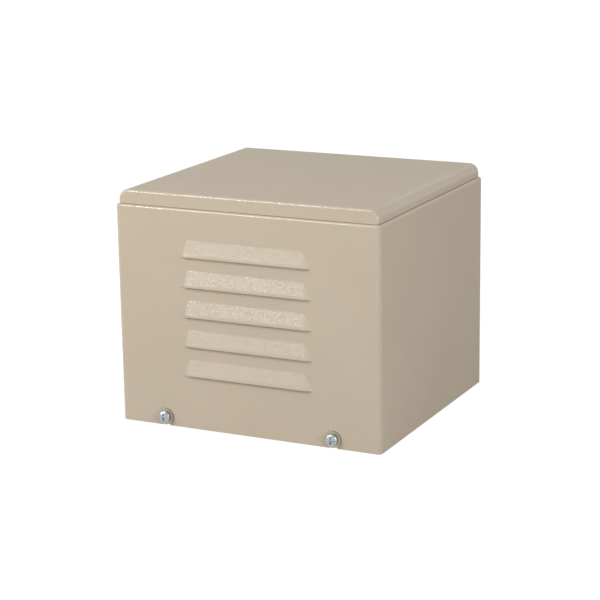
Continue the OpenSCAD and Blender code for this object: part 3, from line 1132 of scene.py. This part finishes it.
@dataclass
class CoverFixings(SubAssembly):
    """The four cover screws with their washers and the clinch nuts that they run into."""

    head_r: float = 4.5 * MM
    head_h: float = 3.6 * MM
    crown_r: float = 9 * MM
    rim_r: float = 0.5 * MM
    foot_edge: float = 0.3 * MM
    recess_w: float = 1.3 * MM
    recess_depth: float = 1.62 * MM
    short_arm: float = 5.58 * MM
    shank_r: float = 2.5 * MM
    shank_len: float = 10.5 * MM
    shank_sunk: float = 0.3 * MM
    shank_end: float = 0.5 * MM
    pitch: float = 0.8 * MM
    bore_r: float = 2.75 * MM
    washer_t: float = 1.2 * MM
    clinch_round: float = 0.2 * MM

    def build(self) -> None:
        """Model one of each and set the copies."""
        span = Span.of("cover_screws")
        xs = (span.low.x + self.head_r, span.high.x - self.head_r)
        reach = span.high.y - self.head_h
        self.screws = self.screw()
        self.screws.shade(Hardware.smooth_deg)
        self.screws.spread(wall_places(xs, -reach, reach, span.middle.z))

        ring = Span.of("cover_washers")
        seat = ring.high.y - self.washer_t
        self.washers = Hardware.washer(
            "flat_washers", ring.height / 2, self.bore_r, self.washer_t, Hardware.edge
        )
        self.washers.shade(Hardware.smooth_deg)
        self.washers.spread(wall_places(xs, -seat, seat, ring.middle.z))

        self.clinches = Piece.rounded_copy("clinch_nuts", "threaded_inserts", self.clinch_round)

    def screw(self) -> Piece:
        """Model a pan-head screw with its head on the XY plane.

        Returns:
            The new closed piece.
        """
        crown = [
            (r, self.head_h - self.crown_r + math.sqrt(self.crown_r ** 2 - r ** 2))
            for r in (self.head_r * step / 8 for step in range(8))
        ]
        rim_z = self.head_h - self.crown_r + math.sqrt(self.crown_r ** 2 - self.head_r ** 2)
        head = Piece.turned("cover_screws_set", crown + [
            (self.head_r - 0.3 * self.rim_r, rim_z - 0.05 * self.rim_r),
            (self.head_r, rim_z - 0.7 * self.rim_r), (self.head_r, self.foot_edge),
            (self.head_r - self.foot_edge, 0), (0, 0),
        ])
        # The short arm is a little deeper, so that no two floors lie in one plane.
        arms = ((0, 2 * self.head_r + MM, 0), (90, self.short_arm, 0.05 * MM))
        for turn, length, deeper in arms:
            floor = self.head_h - self.recess_depth - deeper
            arm = Piece.block(
                "recess_arm", Vector((-length / 2, -self.recess_w / 2, floor)),
                Vector((length / 2, self.recess_w / 2, self.head_h + MM)),
            )
            arm.move(Matrix.Rotation(math.radians(turn), 4, "Z"))
            head.combine(arm, Cut.TAKE)
        shank = Hardware.thread(
            "screw_shank", self.shank_r, self.pitch, -self.shank_len, self.shank_sunk,
            self.shank_end, Hardware.buried,
        )
        head.combine(shank, Cut.ADD)
        return head

    def dress(self, finishes: Finishes) -> None:
        """Plate the fixings.

        Args:
            finishes: The finishes to choose from.
        """
        self.screws.finish(finishes.zinc, Body.BASE, "cover_screws")
        # The washers take the zinc whose tones hold a painted reflection of the beige coat.
        self.washers.finish(finishes.coat_reflection_zinc, Body.BASE, "cover_washers")
        self.clinches.finish(finishes.zinc, Body.BASE, "clinch_nuts")


@dataclass
class LidFixings(SubAssembly):
    """The studs under the lid, the spacers that carry it and the nuts inside the hood."""

    stud_r: float = 2 * MM
    pitch: float = 0.7 * MM
    base_r: float = 2.8 * MM
    base_t: float = 0.8 * MM
    stud_end: float = 0.55 * MM
    spacer_bore_r: float = 3 * MM
    bore_r: float = 2.1 * MM
    spacer_round: float = 0.2 * MM

    def build(self) -> None:
        """Model one of each and set the copies."""
        span = Span.of("lid_studs")
        centres = span.corner_centres(self.base_r)
        right = max(x for x, _ in centres)
        height = span.height
        under = height - self.base_t
        self.studs = Hardware.thread(
            "lid_stud_set", self.stud_r, self.pitch, 0, height - self.base_t / 2,
            self.stud_end, Hardware.buried,
        )
        base = Piece.turned("stud_base", [
            (0, under), (self.base_r, under), (self.base_r, height), (0, height),
        ])
        self.studs.combine(base, Cut.ADD)
        self.studs.shade(Hardware.smooth_deg)
        self.studs.spread(upright_places(centres, span.low.z))

        gap = Span.of("lid_spacers")
        self.spacers = Hardware.washer(
            "lid_spacer_set", gap.high.x - right, self.spacer_bore_r, gap.height, self.spacer_round
        )
        self.spacers.shade(Hardware.smooth_deg)
        self.spacers.spread(upright_places(centres, gap.low.z))

        nut = Span.of("lid_nuts")
        over = Matrix.Rotation(math.pi, 4, "X")
        self.nuts = Hardware.nut("lid_nut_set", self.bore_r, nut.height, nut.high.x - right)
        self.nuts.shade(Hardware.smooth_deg)
        self.nuts.spread([place @ over for place in upright_places(centres, nut.high.z)])

    def dress(self, finishes: Finishes) -> None:
        """Plate the fixings.

        Args:
            finishes: The finishes to choose from.
        """
        self.studs.finish(finishes.zinc, Body.COVER, "lid_studs")
        self.spacers.finish(finishes.zinc, Body.COVER, "lid_spacers")
        self.nuts.finish(finishes.zinc, Body.COVER, "lid_nuts")


@dataclass
class BaseTray(SubAssembly):
    """The folded tray that the hood drops over."""

    edge_round: float = 0.25 * MM

    def build(self) -> None:
        """Model the tray on its imported sheet."""
        self.tray = Piece.rounded_copy("base_tray", "folded_tray", self.edge_round)

    def dress(self, finishes: Finishes) -> None:
        """Coat the tray."""
        self.tray.finish(finishes.coat, Body.BASE, "base_tray")


@dataclass
class RailSet(SubAssembly):
    """The two slotted rails with the studs and nuts that hold them down."""

    edge_round: float = 0.3 * MM
    stud_r: float = 2.5 * MM
    pitch: float = 0.8 * MM
    stud_end: float = 0.5 * MM
    bore_r: float = 2.6 * MM

    def build(self) -> None:
        """Model the rails on their imported strips, and one stud and nut with their copies."""
        self.rails = {
            node: Piece.rounded_copy(node, "slotted_" + node, self.edge_round)
            for node in ("rail_front", "rail_rear")
        }

        span = Span.of("floor_studs")
        centres = self.stud_centres()
        self.studs = Hardware.thread(
            "rail_stud_set", self.stud_r, self.pitch, 0, span.height, Hardware.buried, self.stud_end
        )
        self.studs.shade(Hardware.smooth_deg)
        self.studs.spread(upright_places(centres, span.low.z))

        nut = Span.of("rail_nuts")
        flange_r = nut.high.x - max(x for x, _ in centres)
        self.nuts = Hardware.nut("rail_nut_set", self.bore_r, nut.height, flange_r)
        self.nuts.shade(Hardware.smooth_deg)
        self.nuts.spread(upright_places(centres, nut.low.z))

    def stud_centres(self) -> list[tuple[float, float]]:
        """Find the studs: four round each rail's middle.

        Returns:
            The x and y of the eight studs.
        """
        studs = Span.of("floor_studs")
        x_out = studs.high.x - self.stud_r
        y_out = studs.high.y - self.stud_r
        rear = Span.of("rail_rear").middle.y
        ys = [side * (rear + step * (y_out - rear)) for side in (-1, 1) for step in (-1, 1)]
        return [(x, y) for x in (-x_out, x_out) for y in ys]

    def dress(self, finishes: Finishes) -> None:
        """Finish the rails in bare galvanised strip and plate their fixings.

        Args:
            finishes: The finishes to choose from.
        """
        for node, rail in self.rails.items():
            rail.finish(finishes.galvanised, Body.BASE, node)
        self.studs.finish(finishes.zinc, Body.BASE, "floor_studs")
        self.nuts.finish(finishes.zinc, Body.BASE, "rail_nuts")


@dataclass
class EarthPoint(SubAssembly):
    """The earth stud and what is stacked on it."""

    stud_r: float = 3 * MM
    pitch: float = 1 * MM
    base_t: float = 1 * MM
    stud_end: float = 0.7 * MM
    bore_r: float = 3.25 * MM
    nut_bore_r: float = 3.1 * MM
    tooth_round: float = 0.15 * MM

    def build(self) -> None:
        """Model the stack from the floor up."""
        span = Span.of("earth_stud")
        foot = Matrix.Translation((span.middle.x, span.middle.y, 0))
        floor, base_r = span.low.z, span.width / 2
        self.stud = Hardware.thread(
            "threaded_earth_stud", self.stud_r, self.pitch, floor + self.base_t / 2, span.high.z,
            Hardware.buried, self.stud_end,
        )
        base = Piece.turned("stud_base", [
            (0, floor), (base_r, floor), (base_r, floor + self.base_t * 0.8),
            (base_r - 0.2 * self.base_t, floor + self.base_t), (0, floor + self.base_t),
        ])
        self.stud.combine(base, Cut.ADD)

        flat = Span.of("earth_washer")
        self.washer = Hardware.washer(
            "earth_flat_washer", flat.width / 2, self.bore_r, flat.height, Hardware.edge
        )
        self.washer.move(Matrix.Translation((0, 0, flat.low.z)))
        nut = Span.of("earth_nut")
        self.nut = Hardware.nut("earth_hex_nut", self.nut_bore_r, nut.height)
        self.nut.move(Matrix.Translation((0, 0, nut.low.z)))
        for piece in (self.stud, self.washer, self.nut):
            piece.shade(Hardware.smooth_deg)
            piece.move(foot)
        self.teeth = Piece.rounded_copy("earth_tooth_washer", "earth_lock_washer", self.tooth_round)

    def dress(self, finishes: Finishes) -> None:
        """Plate the stack.

        Args:
            finishes: The finishes to choose from.
        """
        self.stud.finish(finishes.zinc, Body.BASE, "earth_stud")
        self.washer.finish(finishes.zinc, Body.BASE, "earth_washer")
        self.teeth.finish(finishes.zinc, Body.BASE, "earth_tooth_washer")
        self.nut.finish(finishes.zinc, Body.BASE, "earth_nut")


@dataclass
class CableEntry(SubAssembly):
    """The riveted entry plate in the tray's back wall and the two rubber grommets in it."""

    edge_round: float = 0.25 * MM
    sheet: float = 1.5 * MM
    shank_r: float = 1.6 * MM
    head_r: float = 3.2 * MM
    head_h: float = 1.12 * MM
    bulb_r: float = 2.4 * MM
    bore_r: float = 5 * MM
    groove_r: float = 7.9 * MM
    rim_t: float = 2.6 * MM
    lip: float = 0.8 * MM

    def build(self) -> None:
        """Model the plate on its packed sheet, and turn its rivets and grommets."""
        out = Matrix.Rotation(math.radians(-90), 4, "X")
        self.plate = Piece.rounded_copy("entry_plate", "cable_entry_plate", self.edge_round)

        rivets = Span.of("entry_rivets")
        self.rivets = Piece.turned("blind_rivets", self.rivet_section(), 40)
        self.rivets.shade(40)
        seat = rivets.high.y - self.head_h
        xs = (rivets.low.x + self.head_r, rivets.high.x - self.head_r)
        zs = (rivets.low.z + self.head_r, rivets.high.z - self.head_r)
        self.rivets.spread([Matrix.Translation((x, seat, z)) @ out for x in xs for z in zs])

        self.grommets = {}
        for node in ("grommet_left", "grommet_right"):
            span = Span.of(node)
            grommet = Piece.turned(node.replace("grommet", "cable_grommet"), self.section(span), 72)
            grommet.shade(40)
            grommet.move(Matrix.Translation((span.middle.x, span.low.y, span.middle.z)) @ out)
            self.grommets[node] = grommet

    def rivet_section(self) -> Profile:
        """Draw a set rivet's section, from its bulb inside to the dimple in its domed head.

        Returns:
            The radius and height of each point, with 0 at the wall's outer face.
        """
        grip = 2 * self.sheet
        edge = 0.15 * self.head_h
        dimple_r = 0.55 * self.shank_r
        dome_r = (self.head_r ** 2 + self.head_h ** 2) / (2 * self.head_h)
        bulb = [
            (self.bulb_r * math.sin(turn), -grip - self.bulb_r * math.cos(turn))
            for turn in (math.pi / 2 * step / 8 for step in range(9))
        ]
        dome = [
            (r, self.head_h - dome_r + math.sqrt(dome_r ** 2 - r ** 2))
            for r in (self.head_r - (self.head_r - dimple_r) * step / 8 for step in range(1, 9))
        ]
        dimple = self.head_h - 0.6 * self.shank_r / 2
        return bulb + [
            (self.shank_r, -grip), (self.shank_r, 0), (self.head_r - edge, 0), (self.head_r, edge),
            *dome, (0.8 * dimple_r, dimple), (0, dimple),
        ]

    def section(self, span: Span) -> Profile:
        """Draw the grommet's section, from its inner rim at 0 to its outer rim.

        Args:
            span: The box that the grommet fills.

        Returns:
            The radius and height of each point, all the way round.
        """
        rim_r = span.width / 2
        depth = span.high.y - span.low.y
        round_r = self.rim_t / 2
        section = [(self.bore_r + self.lip, 0)]
        for foot in (0, depth - self.rim_t):
            bend = [
                (rim_r - round_r + round_r * math.sin(turn), foot + round_r - round_r * math.cos(turn))
                for turn in (math.pi * step / 10 for step in range(11))
            ]
            section += bend
            if foot == 0:
                section += [(self.groove_r, self.rim_t), (self.groove_r, depth - self.rim_t)]
        section += [
            (self.bore_r + self.lip, depth), (self.bore_r + 0.3 * self.lip, depth - 0.3 * self.lip),
            (self.bore_r, depth - self.lip), (self.bore_r, self.lip),
            (self.bore_r + 0.3 * self.lip, 0.3 * self.lip), (self.bore_r + self.lip, 0),
        ]
        return section

    def dress(self, finishes: Finishes) -> None:
        """Coat the plate, plate its rivets and finish the grommets in rubber.

        Args:
            finishes: The finishes to choose from.
        """
        self.plate.finish(finishes.coat, Body.BASE, "entry_plate")
        self.rivets.finish(finishes.zinc, Body.BASE, "entry_rivets")
        for node, grommet in self.grommets.items():
            grommet.finish(finishes.rubber, Body.BASE, node)


@dataclass(frozen=True)
class Softbox:
    """A rectangular area lamp that faces the enclosure."""

    name: str
    place: Vector
    width: float
    height: float
    power: float

    def hang(self, aim: Vector) -> None:
        """Hang the lamp.

        Args:
            aim: The point that it faces.
        """
        turn = (aim - self.place).to_track_quat("-Z", "Y").to_euler()
        bpy.ops.object.light_add(type="AREA", location=self.place, rotation=turn)
        lamp = bpy.context.object
        lamp.name = self.name
        lamp.data.shape = "RECTANGLE"
        lamp.data.size = self.width
        lamp.data.size_y = self.height
        lamp.data.energy = self.power


@dataclass
class Studio:
    """A white floor and backdrop under soft light."""

    floor_size: float = 14
    floor_drop: float = 0.3 * MM
    floor_grey: float = 0.45
    floor_glow: float = 0.97
    shadow_share: float = 0.25
    ambient: float = 0.5
    aim: Vector = field(default_factory=lambda: Vector((0, 0, 0.09)))
    lamps: tuple[Softbox, ...] = (
        Softbox("key_softbox", Vector((-0.62, -0.92, 0.88)), 0.45, 0.4, 6.6),
        Softbox("left_softbox", Vector((-0.62, -0.52, 0.25)), 0.3, 0.3, 1.1),
        Softbox("side_softbox", Vector((0.87, -0.61, 0.375)), 0.5, 0.5, 3.7),
        Softbox("front_strip", Vector((-0.61, -1.30, 0.35)), 0.32, 0.05, 0.24),
    )

    def build(self) -> None:
        """Lay the floor, hang the lamps and light the backdrop."""
        Piece.put_down()
        bpy.ops.mesh.primitive_plane_add(size=self.floor_size, location=(0, 0, -self.floor_drop))
        floor = Piece.newest("studio_floor")
        floor.obj.data.materials.append(self.floor_paint())
        for lamp in self.lamps:
            lamp.hang(self.aim)
        self.light_backdrop()
        bpy.context.scene.view_settings.view_transform = "Standard"
        log.info("studio: %d lamps", len(self.lamps))

    @staticmethod
    def seen(graph: Graph) -> bpy.types.NodeSocket:
        """Tell rays that see a surface from rays that light one.

        Args:
            graph: The graph to work in.

        Returns:
            1 for camera, glossy and transmission rays, and 0 for others.
        """
        path = graph.add("LightPath").outputs
        mirrored = graph.maths("MAXIMUM", path["Is Glossy Ray"], path["Is Transmission Ray"])
        return graph.maths("MAXIMUM", path["Is Camera Ray"], mirrored)

    def floor_paint(self) -> bpy.types.Material:
        """Make a floor that looks white and still keeps a faint shadow.

        Returns:
            The floor's material.
        """
        material = bpy.data.materials.new("studio_white")
        material.use_nodes = True
        graph = Graph(material.node_tree)
        seen = self.seen(graph)
        grey = graph.ramp(seen, 0, 1, self.floor_grey, self.floor_grey * self.shadow_share)
        tone = graph.add("CombineColor", {"Red": grey, "Green": grey, "Blue": grey})
        plain = graph.add("BsdfDiffuse", {"Color": tone.outputs["Color"]})
        strength = graph.maths("MULTIPLY", seen, self.floor_glow)
        glow = graph.add("Emission", {"Color": (1, 1, 1), "Strength": strength})
        both = graph.add("AddShader")
        graph.feed(both.inputs[0], plain.outputs[0])
        graph.feed(both.inputs[1], glow.outputs[0])
        output = graph.add("OutputMaterial")
        graph.feed(output.inputs["Surface"], both.outputs[0])
        return material

    def light_backdrop(self) -> None:
        """Make the world white to the eye and softer as a light."""
        world = bpy.data.worlds.new("studio_backdrop")
        world.use_nodes = True
        graph = Graph(world.node_tree)
        strength = graph.ramp(self.seen(graph), 0, 1, self.ambient, 1)
        backdrop = graph.add("Background", {"Color": (1, 1, 1), "Strength": strength})
        output = graph.add("OutputWorld")
        graph.feed(output.inputs["Surface"], backdrop.outputs[0])
        bpy.context.scene.world = world


@dataclass
class PhotoCamera:
    """The camera, where the photograph's edges say that it stood."""

    azimuth: float = 26.294
    elevation: float = 14.379
    roll: float = -0.918
    distance: float = 1.458
    lens_mm: float = 115.46
    sensor_mm: float = 36
    aim: Vector = field(default_factory=lambda: Vector((-3.4, -2.4, 79.6)) * MM)

    def stand(self) -> None:
        """Set up the camera and make it the scene's."""
        swing, lift, tilt = (math.radians(a) for a in (self.azimuth, self.elevation, self.roll))
        back = Vector((math.sin(swing) * math.cos(lift), -math.cos(swing) * math.cos(lift), math.sin(lift)))
        right = Vector((math.cos(swing), math.sin(swing), 0))
        up = back.cross(right)
        tilted_right = math.cos(tilt) * right + math.sin(tilt) * up
        tilted_up = math.cos(tilt) * up - math.sin(tilt) * right
        bpy.ops.object.camera_add()
        camera = bpy.context.object
        camera.name = "photo_camera"
        camera.data.lens = self.lens_mm
        camera.data.sensor_width = self.sensor_mm
        turn = Matrix((tilted_right, tilted_up, back)).transposed()
        camera.matrix_world = Matrix.Translation(self.aim + self.distance * back) @ turn.to_4x4()
        bpy.context.scene.camera = camera
        log.info("camera: %.0f mm lens, %.2f m away", self.lens_mm, self.distance)


def main() -> None:
    """Build, dress and light the enclosure."""
    logging.basicConfig(level=logging.INFO, format="%(name)s %(message)s")
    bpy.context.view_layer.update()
    PhotoCamera().stand()
    finishes = Finishes.mixed()
    parts = (
        BaseTray(), RailSet(), EarthPoint(), CableEntry(), CoverFixings(), Hood(), RoofLid(), LidFixings(),
    )
    for part in parts:
        part.build()
        part.dress(finishes)
    Studio().build()


if __name__ == "__main__":
    main()
